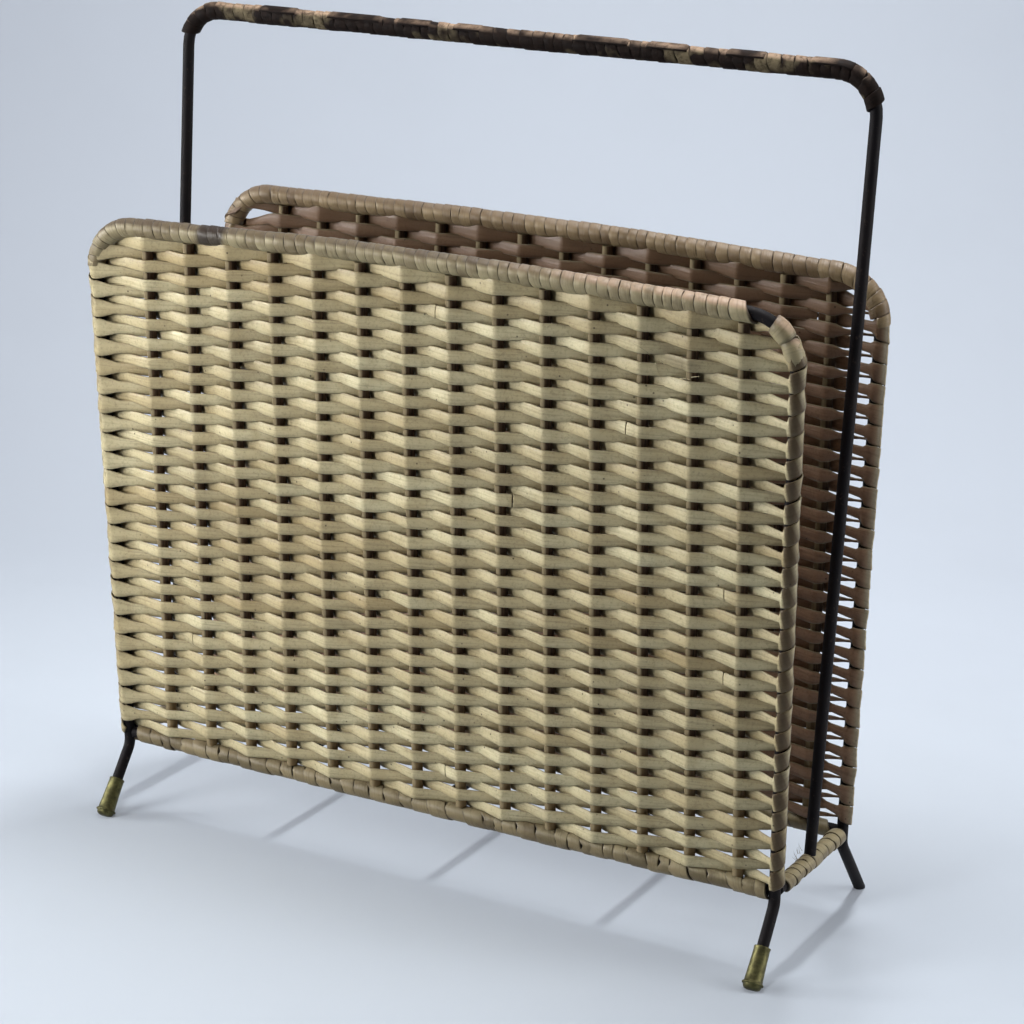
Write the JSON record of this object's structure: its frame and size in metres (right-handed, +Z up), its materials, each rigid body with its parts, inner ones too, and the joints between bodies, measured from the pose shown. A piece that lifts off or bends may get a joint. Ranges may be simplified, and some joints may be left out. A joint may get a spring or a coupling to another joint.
{
  "type": "magazine basket",
  "caption": "Free-standing magazine basket: woven cane panels on a bent steel rod frame with splayed legs, open at both ends, and a tall cane-wrapped carrying handle.",
  "frame": {"origin": "middle of the basket's outline on the floor", "axes": "+X along the basket to the right of the front panel, +Y from the front panel to the back panel, +Z up"},
  "size_m": [0.4164, 0.1462, 0.4436],
  "materials": {
    "painted_steel": "satin black paint, scuffed",
    "straw_cane": "aged straw-coloured cane, matt",
    "dark_cane": "dark brown varnished cane, worn",
    "aged_brass": "tarnished brass, dull shine"
  },
  "bodies": {
    "root": {"front_frame_rod": "painted_steel", "back_frame_rod": "painted_steel", "front_bottom_rail": "painted_steel", "back_bottom_rail": "painted_steel", "left_end_rail": "painted_steel", "right_end_rail": "painted_steel", "cross_rod_1": "painted_steel", "cross_rod_2": "painted_steel", "cross_rod_3": "painted_steel", "handle_rod": "painted_steel", "handle_wrap_grip": "dark_cane", "handle_wrap_left": "dark_cane", "handle_wrap_right": "dark_cane", "front_left_foot_cap": "aged_brass", "front_right_foot_cap": "aged_brass", "back_left_foot_cap": "aged_brass", "front_stake_1": "straw_cane", "front_stake_2": "straw_cane", "front_stake_3": "straw_cane", "front_stake_4": "straw_cane", "front_stake_5": "straw_cane", "front_stake_6": "straw_cane", "front_stake_7": "straw_cane", "front_stake_8": "straw_cane", "front_stake_9": "straw_cane", "front_stake_10": "straw_cane", "front_stake_11": "straw_cane", "front_stake_12": "straw_cane", "front_stake_13": "straw_cane", "front_stake_14": "straw_cane", "front_weaver": "straw_cane", "front_top_wrap": "straw_cane", "front_bottom_wrap_1": "straw_cane", "front_bottom_wrap_2": "straw_cane", "front_bottom_wrap_3": "straw_cane", "front_bottom_wrap_4": "straw_cane", "back_stake_1": "straw_cane", "back_stake_2": "straw_cane", "back_stake_3": "straw_cane", "back_stake_4": "straw_cane", "back_stake_5": "straw_cane", "back_stake_6": "straw_cane", "back_stake_7": "straw_cane", "back_stake_8": "straw_cane", "back_stake_9": "straw_cane", "back_stake_10": "straw_cane", "back_stake_11": "straw_cane", "back_stake_12": "straw_cane", "back_stake_13": "straw_cane", "back_stake_14": "straw_cane", "back_weaver": "straw_cane", "back_top_wrap": "straw_cane", "back_bottom_wrap_1": "straw_cane", "back_bottom_wrap_2": "straw_cane", "back_bottom_wrap_3": "straw_cane", "back_bottom_wrap_4": "straw_cane", "left_end_wrap_front": "straw_cane", "left_end_wrap_back": "straw_cane", "right_end_wrap_front": "straw_cane", "right_end_wrap_back": "straw_cane"}
  },
  "joints": []
}
